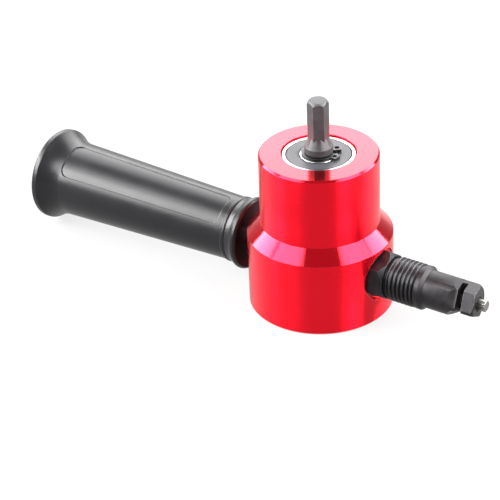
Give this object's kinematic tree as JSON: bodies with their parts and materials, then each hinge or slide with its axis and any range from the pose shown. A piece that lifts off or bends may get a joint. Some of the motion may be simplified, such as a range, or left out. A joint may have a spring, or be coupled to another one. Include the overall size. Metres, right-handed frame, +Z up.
{
  "type": "drill-driven sheet metal nibbler",
  "caption": "Sheet metal nibbler driven by a drill: round body, hex drive shaft, long side grip and a swivelling die head with a reciprocating punch.",
  "frame": {"origin": "middle of the flat base, on the drive shaft's axis", "axes": "+Z up along the drive shaft, +X out along the die head, the grip towards -X"},
  "size_m": [0.2245, 0.0626, 0.0956],
  "materials": {
    "anodised_red": "gloss",
    "cover_alloy": "satin",
    "screw_steel": "satin",
    "seal_rubber": "matte",
    "shaft_steel": "satin",
    "spring_steel": "satin",
    "bearing_steel": "polished",
    "cage_brass": "satin",
    "bearing_seal": "satin",
    "bronze": "satin",
    "crosshead_steel": "satin",
    "punch_steel": "polished",
    "black_steel": "satin",
    "die_steel": "satin",
    "grip_plastic": "satin"
  },
  "bodies": {
    "frame": {"housing": "anodised_red", "bottom_cover": "cover_alloy", "cover_screws": "screw_steel", "cover_seal": "seal_rubber", "top_bearing_outer": "bearing_steel", "top_bearing_seals": "bearing_seal", "bottom_bearing_outer": "bearing_steel", "bottom_bearing_seals": "bearing_seal", "guide_bush": "bronze", "head_sleeve": "black_steel", "grip": "grip_plastic", "grip_insert": "bronze", "handle_stud": "crosshead_steel"},
    "shaft": {"drive_shaft": "shaft_steel", "shaft_circlip": "spring_steel", "thrust_washer": "bearing_steel", "top_bearing_inner": "bearing_steel", "bottom_bearing_inner": "bearing_steel"},
    "top_cage": {"top_bearing_balls": "bearing_steel", "top_bearing_cage": "cage_brass"},
    "bottom_cage": {"bottom_bearing_balls": "bearing_steel", "bottom_bearing_cage": "cage_brass"},
    "bush": {"eccentric_bush": "bronze"},
    "crosshead": {"crosshead": "crosshead_steel"},
    "punch": {"punch": "punch_steel"},
    "die": {"die_head": "die_steel", "die_circlip": "spring_steel"}
  },
  "joints": [
    {"name": "shaft_spin", "type": "hinge", "parent": "frame", "child": "shaft", "pos_m": [0, 0, 0], "axis": [0, 0, 1], "continuous": true},
    {"name": "top_cage_spin", "type": "hinge", "parent": "frame", "child": "top_cage", "pos_m": [0, 0, 0], "axis": [0, 0, 1], "continuous": true},
    {"name": "bottom_cage_spin", "type": "hinge", "parent": "frame", "child": "bottom_cage", "pos_m": [0, 0, 0], "axis": [0, 0, 1], "continuous": true},
    {"name": "bush_spin", "type": "hinge", "parent": "shaft", "child": "bush", "pos_m": [0.00125, 0, 0], "axis": [0, 0, 1], "continuous": true},
    {"name": "crosshead_turn", "type": "hinge", "parent": "bush", "child": "crosshead", "pos_m": [0.0025, 0, 0], "axis": [0, 0, 1], "continuous": true},
    {"name": "head_swivel", "type": "hinge", "parent": "frame", "child": "die", "pos_m": [0, 0, 0.021], "axis": [1, 0, 0], "range_deg": [-180, 180]},
    {"name": "punch_swivel", "type": "hinge", "parent": "crosshead", "child": "punch", "pos_m": [0, 0, 0.021], "axis": [1, 0, 0], "range_deg": [-180, 180]}
  ],
  "couplings": [
    {"joint": "top_cage_spin", "follows": "shaft_spin", "ratio": 0.375},
    {"joint": "bottom_cage_spin", "follows": "shaft_spin", "ratio": 0.383},
    {"joint": "bush_spin", "follows": "shaft_spin", "ratio": -2},
    {"joint": "crosshead_turn", "follows": "shaft_spin", "ratio": 1},
    {"joint": "punch_swivel", "follows": "head_swivel", "ratio": 1}
  ]
}
